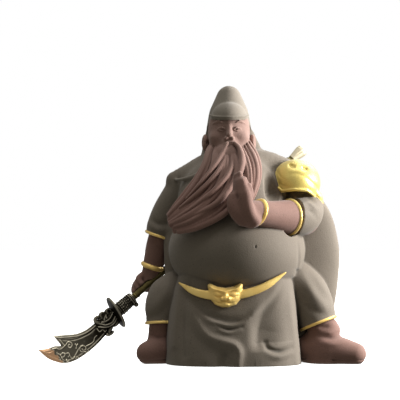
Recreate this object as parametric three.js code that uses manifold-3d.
// A hand-sized clay statue of a stout bearded warrior in a robe, with a loose metal glaive behind his back.
// Millimetres, +Z up. He faces -Y, and the origin is on the ground under his belly.
import * as THREE from "three";
import { mergeVertices } from "three/addons/utils/BufferGeometryUtils.js";
import Module from "manifold-3d";

const wasm = await Module();
wasm.setup();

// Driving sizes of the clay figure.
const FIGURE_HEIGHT = 125;
const PIPING_DIAMETER = 1.5;
const BELT_WIDTH = 4.2;
const BELT_THICKNESS = 1.8;
const HEM_ROLL_DIAMETER = 2.4;

// Driving sizes of the glaive.
const POLE_DIAMETER = 3;
const POLE_LENGTH = 106;
const TAIL_LENGTH = 10;
const TAIL_DIAMETER = 4.8;
const SOCKET_WALL = 0.8;
const SOCKET_LENGTH = 10.5;
const SOCKET_FLOOR = 3.5;
const SOCKET_LIP = 0.5;
const GUARD_DIAMETER = 15.5;
const GUARD_THICKNESS = 1.8;
const GUARD_LEAN_DEGREES = 10;
const BLADE_LENGTH = 38;
const BLADE_THICKNESS = 2.2;
const BLADE_EDGE = 0.6;
const CLEARANCE = 0.3;

// How far a surface may move where facets that hardly show are merged.
const CLAY_TOLERANCE = 0.18;
const METAL_TOLERANCE = 0.12;

// All places and radii of the figure are in hundredths of its height.
const SHARE = FIGURE_HEIGHT / 100;
const GRIP = [-28.6, 3.7, 30.8];
const SHOULDER_REST = [24.7, 22, 77];
const HEAD_MIDDLE = -2.6;

const CLAY = new THREE.MeshStandardMaterial({ color: 0x6f675d, roughness: 0.8, metalness: 0 });
const BRONZE = new THREE.MeshStandardMaterial({ color: 0x5a5038, roughness: 0.4, metalness: 0.9 });

const point = ([x, y, z]) => new THREE.Vector3(x, y, z).multiplyScalar(SHARE);

// A closed three.js geometry as a solid that can be joined and cut.
function solid(geometry) {
  const bare = geometry.clone();
  bare.deleteAttribute("normal");
  bare.deleteAttribute("uv");
  const merged = mergeVertices(bare, 1e-4);
  const mesh = new wasm.Mesh({
    numProp: 3,
    vertProperties: merged.attributes.position.array,
    triVerts: new Uint32Array(merged.index.array),
  });
  return new wasm.Manifold(mesh);
}

const join = (solids) => wasm.Manifold.union(solids);

// A solid back as a three.js geometry, without the slivers and specks that joining and cutting leave.
function geometryOf(shape, tolerance) {
  const shells = shape.asOriginal().simplify(tolerance).decompose();
  const [body] = shells.sort((a, b) => b.volume() - a.volume());
  const { numProp, vertProperties, triVerts } = body.getMesh();
  const geometry = new THREE.BufferGeometry();
  const positions = new THREE.BufferAttribute(new Float32Array(vertProperties), numProp);
  geometry.setAttribute("position", positions);
  geometry.setIndex(new THREE.BufferAttribute(new Uint32Array(triVerts), 1));
  geometry.computeVertexNormals();
  return geometry;
}

// Moves every vertex of a geometry to where place() puts it.
function warp(geometry, place) {
  const position = geometry.attributes.position;
  const vertex = new THREE.Vector3();
  for (let i = 0; i < position.count; i++) {
    place(vertex.fromBufferAttribute(position, i));
    position.setXYZ(i, vertex.x, vertex.y, vertex.z);
  }
  return geometry;
}

// A value between the numbers of a list, at a share t of its length.
function valueAt(list, t) {
  if (list.length === 1) return list[0];
  const place = THREE.MathUtils.clamp(t, 0, 1) * (list.length - 1);
  const from = Math.min(Math.floor(place), list.length - 2);
  return THREE.MathUtils.lerp(list[from], list[from + 1], place - from);
}

// An ellipsoid. backRadius flattens or fills out its far side, and turn rolls it in front view, in degrees.
function lump(centre, [rx, ry, rz], { across = 14, down = 9, turn = 0, backRadius = ry } = {}) {
  const ball = new THREE.SphereGeometry(1, across, down).rotateX(Math.PI / 2);
  warp(ball, (v) => v.set(v.x * rx, v.y * (v.y > 0 ? backRadius : ry), v.z * rz));
  ball.rotateY(THREE.MathUtils.degToRad(turn)).scale(SHARE, SHARE, SHARE);
  const { x, y, z } = point(centre);
  return solid(ball.translate(x, y, z));
}

// A limb along a smooth curve, which rounds off to a point at both ends. flat thins it towards facing.
function limb(points, radii, { sides = 8, rings = 9, flat = 1, facing = [0, -1, 0], cap = 0.3 } = {}) {
  const curve = new THREE.CatmullRomCurve3(points.map(point), false, "catmullrom", 0.5);
  const front = new THREE.Vector3(...facing).normalize();
  const tangent = new THREE.Vector3();
  const side = new THREE.Vector3();
  const up = new THREE.Vector3();
  const centre = new THREE.Vector3();
  const ball = warp(new THREE.SphereGeometry(1, sides, rings), (v) => {
    const t = THREE.MathUtils.clamp((1 - v.y) / 2, 0, 1);
    const nearEnd = Math.min(t, 1 - t, cap) / cap;
    const radius = valueAt(radii, t) * SHARE * Math.sqrt(1 - (1 - nearEnd) ** 2);
    const spread = Math.max(Math.hypot(v.x, v.z), 1e-9);
    curve.getPoint(t, centre);
    curve.getTangent(t, tangent);
    side.crossVectors(front, tangent).normalize();
    up.crossVectors(tangent, side);
    const acrossSide = (v.x / spread) * radius;
    const acrossUp = (v.z / spread) * radius * flat;
    v.copy(centre).addScaledVector(side, acrossSide).addScaledVector(up, acrossUp);
  });
  return solid(ball);
}

// A raised bead around a limb: a tilted ring.
function piping(centre, radius, normal) {
  const ring = new THREE.TorusGeometry(radius * SHARE, PIPING_DIAMETER / 2, 6, 24);
  const turn = new THREE.Quaternion();
  turn.setFromUnitVectors(new THREE.Vector3(0, 0, 1), new THREE.Vector3(...normal).normalize());
  const { x, y, z } = point(centre);
  return solid(ring.applyQuaternion(turn).translate(x, y, z));
}

// Height of the cloth above its plain surface: soft ridges and valleys along lines drawn in front view.
function foldHeight(folds, x, z) {
  let height = 0;
  for (const { line, depth, width } of folds) {
    let nearest = Infinity;
    for (let i = 0; i + 1 < line.length; i++) {
      const [ax, az] = line[i];
      const [bx, bz] = line[i + 1];
      const dx = bx - ax;
      const dz = bz - az;
      const t = THREE.MathUtils.clamp(((x - ax) * dx + (z - az) * dz) / (dx * dx + dz * dz), 0, 1);
      nearest = Math.min(nearest, Math.hypot(x - ax - t * dx, z - az - t * dz));
    }
    height += depth * Math.exp(-((nearest / width) ** 2));
  }
  return height;
}

// Cloth that hangs in rings from a low to a high level: half widths, front and back depths at each level.
// The folds are on the side that foldedSide names, -1 for the front, and the vertices crowd together there.
function drape({ levels, middle, centreY, halfWidth, front, back, folds, foldedSide, around, up }) {
  const [low, high] = levels;
  const crowding = 0.45;
  const wall = warp(new THREE.CylinderGeometry(1, 1, 1, around, up).rotateX(Math.PI / 2), (v) => {
    const t = v.z + 0.5;
    const z = THREE.MathUtils.lerp(low, high, t);
    const reach = Math.hypot(v.x, v.y);
    const even = Math.atan2(v.x, v.y * foldedSide);
    const angle = even - crowding * Math.sin(even);
    const depth = valueAt(Math.cos(angle) * foldedSide > 0 ? back : front, t);
    const x = valueAt(middle, t) + reach * Math.sin(angle) * valueAt(halfWidth, t);
    const facing = THREE.MathUtils.clamp(2 * Math.cos(angle), 0, 1);
    const raised = reach > 0.5 ? foldHeight(folds, x, z) * facing : 0;
    v.set(x, centreY + foldedSide * reach * Math.cos(angle) * (depth + raised), z);
  });
  return solid(wall.scale(SHARE, SHARE, SHARE));
}

// Robe, from the ground up to the shoulders. The lines of the folds are [x, z] as seen from the front.
const SKIRT_FOLDS = [
  { line: [[16, 30], [10.7, 23.2], [7.9, 17], [6.4, 11], [7.1, 6.3]], depth: -2.4, width: 2.8 },
  { line: [[7.1, 6.3], [13.1, 5], [18.5, 6.4]], depth: -1.5, width: 2.8 },
  { line: [[19, 29], [14, 20], [12.6, 11]], depth: 1.6, width: 3.2 },
  { line: [[-12, 22], [-6, 18], [-1, 17.4], [4.3, 20]], depth: -1.1, width: 2.6 },
  { line: [[-22, 27], [-19.4, 18.9], [-14.2, 12.4], [-8.6, 9.4], [-3.4, 7.8]], depth: 1.4, width: 3 },
  { line: [[-3.6, 7.6], [-1, 4.6], [-0.6, 0]], depth: 1.8, width: 2.8 },
];
const CAPE_FOLDS = [
  { line: [[-8, 62], [-11, 36], [-13, 0]], depth: -1.6, width: 3 },
  { line: [[2, 66], [3, 36], [2, 0]], depth: 1.4, width: 3.4 },
  { line: [[12, 62], [17, 36], [16, 0]], depth: -1.8, width: 3 },
];

function skirt() {
  return drape({
    levels: [-2, 34],
    middle: [-2.2, -1.8, -1.2, -0.5],
    centreY: -3,
    halfWidth: [25.2, 24.8, 23, 19.5],
    front: [21.8, 20.6, 19, 16.5],
    back: [13.5, 13, 12, 9],
    folds: SKIRT_FOLDS,
    foldedSide: -1,
    around: 44,
    up: 16,
  });
}

function cape() {
  return drape({
    levels: [-2, 74],
    middle: [5, 7.2, 9, 9, 7, 1.2],
    centreY: 3.5,
    halfWidth: [24.5, 27.2, 29, 29, 24, 13],
    front: [6, 6, 6, 6, 6, 5],
    back: [12, 9.6, 7.6, 8, 7.6, 5],
    folds: CAPE_FOLDS,
    foldedSide: 1,
    around: 28,
    up: 9,
  });
}

function robe() {
  const shoulders = [[-24.6, 1.5, 63.4], [-15.6, 1, 66.8], [-2, 0.5, 70.6], [10, 1, 69.8], [21, 1, 67]];
  const collar = [[-24, 1.6, 66.2], [-21, -5.8, 65.8], [-15, -11.2, 67], [-10, -13, 70]];
  const rightHem = [[-20, 1.4, 62], [-24, 0.6, 44], [-23, 0, 27]];
  return [
    lump([0.4, -3.5, 40.5], [25.2, 23.3, 18.8], { across: 26, down: 16, backRadius: 12 }),
    lump([-0.5, -2.5, 59], [20.5, 17.5, 16.5], { across: 20, down: 10, backRadius: 10 }),
    limb(shoulders, [4.4, 6.2, 7.6, 7.2, 7]),
    limb(collar, [1.4, 2, 2, 1.6], { sides: 6, rings: 7 }),
    limb(rightHem, [3, 3.6, 3.4]),
    skirt(),
    cape(),
  ];
}

// The belt shows only in front, under the belly, and its ends taper. Its buckle is a beast's face.
const BELT_LINE = [
  [-20.5, -15.5, 29.2],
  [-15, -19.6, 26.2],
  [-3.3, -22.4, 24.9],
  [8, -20.6, 27.2],
  [17.5, -14.6, 32.8],
];
const BUCKLE = [-3.4, -22.8, 24.8];

function beltAndBuckle() {
  const width = BELT_WIDTH / SHARE / 2;
  const widths = [0.55, 1, 1, 1, 0.45].map((share) => share * width);
  const ribbon = limb(BELT_LINE, widths, { rings: 16, flat: BELT_THICKNESS / BELT_WIDTH });
  const [x, y, z] = BUCKLE;
  const small = { across: 8, down: 6 };
  const ears = [-1, 1].map((side) => lump([x + side * 4.2, y - 0.8, z + 2.5], [2, 1.8, 1.7], small));
  const face = lump(BUCKLE, [5.8, 2.8, 4.4], { across: 12, down: 8 });
  const snout = lump([x, y - 2.4, z - 0.4], [1.3, 1.4, 1.5], small);
  return [ribbon, face, snout, ...ears];
}

function legs() {
  const rightTrouser = [[-12, 1, 32], [-22.6, -1.5, 24.6], [-26.6, -3.5, 19], [-27.2, -4.5, 12]];
  const leftTrouser = [[12, 1, 36], [23.5, -1.5, 28.5], [29.5, -3.5, 21.5], [30.6, -4.5, 11.5]];
  const rightShaft = [[-27.2, -4.4, 18], [-27.4, -5, 8], [-27.6, -5, -1]];
  const leftShaft = [[30.6, -4.4, 18], [31.6, -5.4, 8], [32, -6, -1]];
  const rightFoot = [[-22, 0, 4.2], [-29, -7, 4.2], [-35, -12.5, 3.2]];
  const leftFoot = [[22, -1, 4.6], [33, -6.5, 5.2], [46.4, -10, 2.8]];
  return [
    limb(rightTrouser, [8, 8.2, 7.8, 5.6], { sides: 12 }),
    limb(leftTrouser, [8, 9, 8, 6.2], { sides: 12 }),
    limb(rightShaft, [5, 4.8, 5.2], { sides: 10, rings: 7 }),
    limb(leftShaft, [5.6, 6.6, 6.4], { sides: 10, rings: 7 }),
    limb(rightFoot, [5, 5.3, 4.6], { sides: 10 }),
    limb(leftFoot, [5.6, 6.2, 4.8], { sides: 10 }),
    piping([-27.6, -4.6, 14.4], 5, [-0.02, 0.1, 1]),
    piping([30.6, -4.8, 14.4], 6.2, [-0.36, 0.05, 1]),
  ];
}

// The arm that holds the glaive, on his right. The fingers wrap under the pole and the thumb goes over it.
function grippingArm(axis, upward, backward) {
  const sleevePath = [[-18, 1.4, 68], [-21.8, 2.6, 58.6], [-26.4, 3.8, 51], [-28, 4.2, 42.6]];
  const forearmPath = [[-27, 4, 50], [-29, 4.6, 40], [-30.4, 5, 33.4], [-31.2, 5, 28]];
  const fingerRadius = 1.4;
  const curlRadius = (POLE_DIAMETER / 2 + CLEARANCE) / SHARE + fingerRadius * 0.75;
  const grip = new THREE.Vector3(...GRIP);
  const curl = (place, turns) =>
    turns.map((degrees) => {
      const angle = THREE.MathUtils.degToRad(degrees);
      const joint = grip.clone().addScaledVector(axis, place);
      joint.addScaledVector(upward, curlRadius * Math.cos(angle));
      return joint.addScaledVector(backward, curlRadius * Math.sin(angle)).toArray();
    });
  const around = { sides: 6, rings: 7, facing: axis.toArray() };
  const fingers = [-1.5, -0.5, 0.5, 1.5].map((place) =>
    limb(curl(place * fingerRadius * 1.5, [70, 130, 200, 290]), [fingerRadius], around),
  );
  return [
    limb(sleevePath, [5, 5.4, 5.8, 5.2], { sides: 12, cap: 0.22 }),
    limb(forearmPath, [4.4, 4.3, 4.1, 3.8]),
    limb(curl(2.6, [80, 30, -20, -60]), [fingerRadius * 1.1], around),
    lump([-29.4, 5.4, 30.6], [4, 3.4, 4.6]),
    lump([-34.5, 6.6, 28.2], [3.5, 3.4, 5]),
    piping([-28, 4.3, 45.2], 4.9, [0.38, 0, 1]),
    piping([-30.6, 5, 33.6], 4.2, [0.22, -0.1, 1]),
    ...fingers,
  ];
}

// The arm that is raised in salute, on his left, with an armoured shoulder.
function salutingArm() {
  const sleevePath = [[19, 1.5, 70], [23.8, -1, 60], [24, -6.5, 53], [19, -12.6, 52.4]];
  const forearmPath = [[24, -8, 52.4], [15, -17.5, 52.6], [7, -24.5, 53.4], [2.6, -27, 53.6]];
  const palmPath = [[4, -27, 49.6], [2, -28.2, 56], [1.4, -28, 62.6]];
  const thumbPath = [[1, -28.2, 51], [-2.2, -29.4, 56], [-3.2, -29.4, 61.6]];
  const fingertips = [[-1.3, -26.8, 67.2], [0.3, -27.4, 68], [2.1, -28, 65.8], [3.8, -28.6, 62.6]];
  const fingers = fingertips.map(([x, y, top]) => {
    const path = [[x + 0.5, y - 0.4, 57], [x + 0.2, y - 0.2, 62], [x, y + 0.6, top]];
    return limb(path, [1.3, 1.35, 1.1], { sides: 6, rings: 6 });
  });
  const roll = HEM_ROLL_DIAMETER / SHARE / 2;
  const guardHem = [[12, -5.6, 64], [17.5, -9.6, 61.6], [24, -9.6, 61.4], [29, -5, 58.6], [32, 1.5, 54.8]];
  return [
    limb(sleevePath, [7, 7.4, 7, 6.4], { sides: 12, cap: 0.2 }),
    limb(forearmPath, [6, 5.9, 5.2, 4.6], { sides: 12, cap: 0.16 }),
    limb(palmPath, [4, 4.9, 4.4], { flat: 0.6, facing: [-0.5, -0.86, 0], sides: 10 }),
    limb(thumbPath, [2.2, 1.9, 1.3], { sides: 6, rings: 6 }),
    ...fingers,
    piping([19.4, -13.4, 52.6], 6.3, [-0.75, -0.64, 0.05]),
    piping([6.4, -25, 53.4], 5, [-0.74, -0.6, 0.3]),
    lump([20.8, -1, 65.4], [10.2, 9.4, 8.4], { across: 16, down: 10, turn: 12 }),
    limb(guardHem, [roll], { sides: 6, rings: 12, cap: 0.12 }),
  ];
}

// Head, with a tall cap that has a lower flap in front and hangs down to the shoulders behind the ears.
function head() {
  const x = HEAD_MIDDLE;
  const paired = [-1, 1].flatMap((side) => {
    const brow = [[x + side * 1.2, -11.8, 84.4], [x + side * 3.6, -11.2, 85.2], [x + side * 6.2, -9, 84.6]];
    return [
      limb(brow, [0.6, 0.8, 0.4], { sides: 5, rings: 6 }),
      lump([x + side * 3.5, -10.3, 82.7], [1.7, 0.9, 0.8], { across: 8, down: 6 }),
      lump([x + side * 8.3, -1, 80.4], [1.2, 1.6, 2.8], { across: 8, down: 6 }),
    ];
  });
  const nose = [[x, -11.2, 84.4], [x, -12.9, 81], [x, -12.4, 79.6]];
  const capBack = [[x, 3, 88], [x, 4.4, 78], [x, 5, 68]];
  const dome = [[x, 1, 74], [x, 0.8, 84], [x, 1.4, 92], [x, 2, 100]];
  const flap = lump([x, -2.2, 87.2], [8, 9, 6.8], { across: 18, down: 10 });
  const brimUnderside = new THREE.BoxGeometry(30, 20, 10).translate(x, -12, 82.6).scale(SHARE, SHARE, SHARE);
  return [
    lump([x, -2.4, 82.5], [8, 9.4, 10.5], { across: 18, down: 12 }),
    lump([x, -5, 77], [7.2, 6.4, 5], { across: 14, down: 8 }),
    limb(nose, [0.9, 1.3, 1.2], { sides: 6, rings: 6 }),
    limb(capBack, [7.4, 8.8, 10.6], { sides: 12, flat: 0.5 }),
    limb(dome, [8.4, 8.4, 6.9, 4.8], { sides: 16, rings: 10, flat: 1.12 }),
    flap.subtract(solid(brimUnderside)),
    ...paired,
  ];
}

// Beard: locks that fill the space between its upper edge and its lower edge, swept to his right.
const BEARD_UPPER = [[-9.6, -6.5, 79], [-11.4, -12.5, 69.5], [-17, -17.6, 59], [-25, -16.8, 50.6]];
const BEARD_LOWER = [[0.5, -10.5, 76.4], [1.5, -17.5, 66], [-5.5, -25, 51.5], [-24.2, -18.4, 46.6]];
const BEARD_SWELL = [1.6, 2, 2, 0.6];
const LOCKS = 8;

function beard() {
  const sweep = Array.from({ length: LOCKS }, (_, i) => {
    const share = i / (LOCKS - 1);
    const path = BEARD_UPPER.map(([x, y, z], step) => {
      const [lowX, lowY, lowZ] = BEARD_LOWER[step];
      const out = y + (lowY - y) * share - BEARD_SWELL[step] * Math.sin(Math.PI * share);
      return [x + (lowX - x) * share, out, z + (lowZ - z) * share];
    });
    return limb(path, [1.7, 2.2, 2.5, 1.4], { sides: 6, cap: 0.2 });
  });
  const leftSide = [0, 1, 2].map((i) => {
    const x = 2.6 + i * 2;
    const upper = [[x, -9.5 + i * 1.4, 78.5 - i], [x + 1.6, -15 + i, 69]];
    const lower = [[x, -19 + i, 61], [x - 2.4, -21 + i, 56]];
    return limb([...upper, ...lower], [1.5, 1.8, 1.7, 1], { sides: 6, rings: 8 });
  });
  const rightWhisker = [[-3, -12.2, 78.6], [-5.4, -13, 75.6], [-8, -14.6, 70.5], [-12.5, -18, 62]];
  const leftWhisker = [[-2.2, -12.2, 78.6], [0.6, -13.2, 75.6], [2.2, -16.5, 69.5], [1, -20, 64.5]];
  return [
    ...sweep,
    ...leftSide,
    limb(rightWhisker, [0.8, 1.1, 1.1, 0.7], { sides: 6 }),
    limb(leftWhisker, [0.8, 1.1, 1.2, 0.8], { sides: 6 }),
    lump([-3.4, -9.6, 70], [7, 5.4, 9], { across: 10, down: 8 }),
  ];
}

// The glaive is modelled along +Z, with its guard at zero and its blade above.
const socketRadius = POLE_DIAMETER / 2 + CLEARANCE + SOCKET_WALL;
const poleTop = -SOCKET_FLOOR - CLEARANCE;
const poleEnd = -SOCKET_LENGTH - POLE_LENGTH;

// A profile of [radius, place] pairs turned round the glaive's axis.
function turned(profile, sides) {
  const outline = profile.map(([radius, place]) => new THREE.Vector2(radius, place));
  return new THREE.LatheGeometry(outline, sides).rotateX(Math.PI / 2);
}

// The rod with its tail piece, or the room that it needs with a gap all round.
function rodProfile(gap) {
  const rod = POLE_DIAMETER / 2 + gap;
  const tail = TAIL_DIAMETER / 2 + gap;
  const placeAt = (share) => poleEnd + TAIL_LENGTH * share;
  return [
    [0, poleEnd - gap],
    [tail * 0.4, placeAt(0.12) - gap],
    [tail * 0.82, placeAt(0.4)],
    [tail, placeAt(0.62)],
    [tail * 0.72, placeAt(0.8)],
    [tail, placeAt(0.92)],
    [tail, placeAt(1) + gap],
    [rod, placeAt(1.06) + gap],
    [rod, poleTop + gap],
    [0, poleTop + gap],
  ];
}

function socketProfile(gap) {
  const radius = socketRadius + gap;
  const lip = radius + SOCKET_LIP;
  const placeAt = (share) => -SOCKET_LENGTH * (1 - share);
  return [
    [0, placeAt(0) - gap],
    [lip, placeAt(0) - gap],
    [lip, placeAt(0.12) + gap],
    [radius, placeAt(0.18) + gap],
    [radius, 0],
    [0, 0],
  ];
}

function guardDisc() {
  const section = [[0, -1], [0.55, -1], [0.94, -0.55], [1, 0], [0.94, 0.55], [0.55, 1], [0, 1]];
  const profile = section.map(([out, rise]) => [(out * GUARD_DIAMETER) / 2, (rise * GUARD_THICKNESS) / 2]);
  return solid(turned(profile, 24).rotateY(THREE.MathUtils.degToRad(GUARD_LEAN_DEGREES)));
}

// The blade from root to tip, in shares of its length: [place, reach] of the cutting edge, then of the spine.
const BLADE_ROWS = [
  [[0.1, -0.09], [0.1, 0.075]],
  [[0.28, -0.125], [0.28, 0.07]],
  [[0.42, -0.14], [0.42, 0.08]],
  [[0.54, -0.142], [0.54, 0.118]],
  [[0.66, -0.13], [0.66, 0.148]],
  [[0.75, -0.11], [0.75, 0.128]],
  [[0.83, -0.075], [0.82, 0.176]],
  [[0.905, -0.005], [0.9, 0.206]],
  [[0.97, 0.113], [0.96, 0.246]],
  [[0.994, 0.26], [1, 0.28]],
];

function blade() {
  const curveOf = (side) => {
    const places = BLADE_ROWS.map((row) => new THREE.Vector3(row[side][1], row[side][0], 0));
    return new THREE.CatmullRomCurve3(places, false, "catmullrom");
  };
  const edge = curveOf(0);
  const spine = curveOf(1);
  const full = BLADE_THICKNESS;
  const thickness = [BLADE_EDGE, full * 0.8, full, full * 0.9, full * 0.5];
  const strip = warp(new THREE.BoxGeometry(1, 1, 1, 4, 18, 1), (v) => {
    const half = v.z * valueAt(thickness, v.x + 0.5);
    const across = spine.getPoint(v.y + 0.5);
    v.copy(edge.getPoint(v.y + 0.5).lerp(across, v.x + 0.5)).multiplyScalar(BLADE_LENGTH).setZ(half);
  });
  return [strip, hook()].map((plate) => solid(plate.rotateX(Math.PI / 2)));
}

// The backward hook on the blade's spine, in the blade's own shares.
function hook() {
  const corner = (place, reach) => [reach * BLADE_LENGTH, place * BLADE_LENGTH];
  const outline = new THREE.Shape();
  outline.moveTo(...corner(0.75, 0.08));
  outline.lineTo(...corner(0.752, 0.276));
  outline.quadraticCurveTo(...corner(0.655, 0.2), ...corner(0.5, 0.096));
  outline.closePath();
  const depth = BLADE_THICKNESS * 0.66;
  const plate = new THREE.ExtrudeGeometry(outline, { depth, curveSegments: 6, bevelEnabled: false });
  return plate.translate(0, 0, -depth / 2);
}

// A beast's head bites the blade: a rounded muzzle with curls along its crest, cheeks and a jaw.
function beastCollar() {
  const size = BLADE_LENGTH / 38;
  const muzzle = new THREE.SphereGeometry(1, 12, 9).scale(4.3, 2.8, 6.6).translate(0, 0, 5.6);
  const knobs = [
    [4.2, 0, 1.6, 1.5],
    [5, 0, 4.6, 1.5],
    [4.8, 0, 7.8, 1.5],
    [-4.2, 0, 6.4, 1.3],
    [-4.4, 0, 9.4, 1.3],
    ...[-1, 1].flatMap((side) => [
      [1.4, side * 2.2, 6.6, 1.2],
      [-1, side * 2, 3.4, 1.4],
      [0.8, side * 1.6, 10, 1.2],
    ]),
  ];
  const balls = knobs.map(([x, y, z, radius]) => new THREE.SphereGeometry(radius, 6, 5).translate(x, y, z));
  return [muzzle, ...balls].map((form) => solid(form.scale(size, size, size)));
}

function bladeHead() {
  const wall = POLE_DIAMETER / 2 + CLEARANCE;
  const mouth = -SOCKET_LENGTH - CLEARANCE;
  const bore = turned([[0, mouth], [wall, mouth], [wall, -SOCKET_FLOOR], [0, -SOCKET_FLOOR]], 16);
  const cast = join([solid(turned(socketProfile(0), 16)), guardDisc(), ...blade(), ...beastCollar()]);
  return geometryOf(cast.subtract(solid(bore)), METAL_TOLERANCE);
}

// The glaive lies on a line through the grip and behind the left shoulder, with its blade on the ground.
const headGeometry = bladeHead();
const axis = point(GRIP).sub(point(SHOULDER_REST)).normalize();
const backward = new THREE.Vector3(0, 1, 0).addScaledVector(axis, -axis.y).normalize();
const upward = new THREE.Vector3().crossVectors(backward, axis);
const stance = new THREE.Matrix4().makeBasis(upward, backward, axis);
const standing = headGeometry.clone().applyMatrix4(stance);
standing.computeBoundingBox();
const reachToGround = (point(GRIP).z + standing.boundingBox.min.z) / -axis.z;
stance.setPosition(point(GRIP).addScaledVector(axis, reachToGround));

function clayFigure() {
  const modelled = join([
    ...robe(),
    ...beltAndBuckle(),
    ...legs(),
    ...grippingArm(axis, upward, backward),
    ...salutingArm(),
    ...head(),
    ...beard(),
  ]);
  const room = FIGURE_HEIGHT * 4;
  const ground = new THREE.BoxGeometry(room, room, room).translate(0, 0, -room / 2);
  const glaiveRoom = [rodProfile(CLEARANCE), socketProfile(CLEARANCE)].map((profile) => turned(profile, 16));
  const cuts = [ground, ...glaiveRoom.map((form) => form.applyMatrix4(stance))];
  return geometryOf(modelled.subtract(join(cuts.map(solid))), CLAY_TOLERANCE);
}

const statue = new THREE.Group();
const glaive = new THREE.Group();
stance.decompose(glaive.position, glaive.quaternion, glaive.scale);
statue.add(glaive);

function addPiece(parent, name, geometry, material) {
  const mesh = new THREE.Mesh(geometry, material);
  mesh.name = name;
  parent.add(mesh);
}

addPiece(statue, "clay_figure", clayFigure(), CLAY);
addPiece(glaive, "blade_head", headGeometry, BRONZE);
addPiece(glaive, "pole", turned(rodProfile(0), 16), BRONZE);

export default statue;
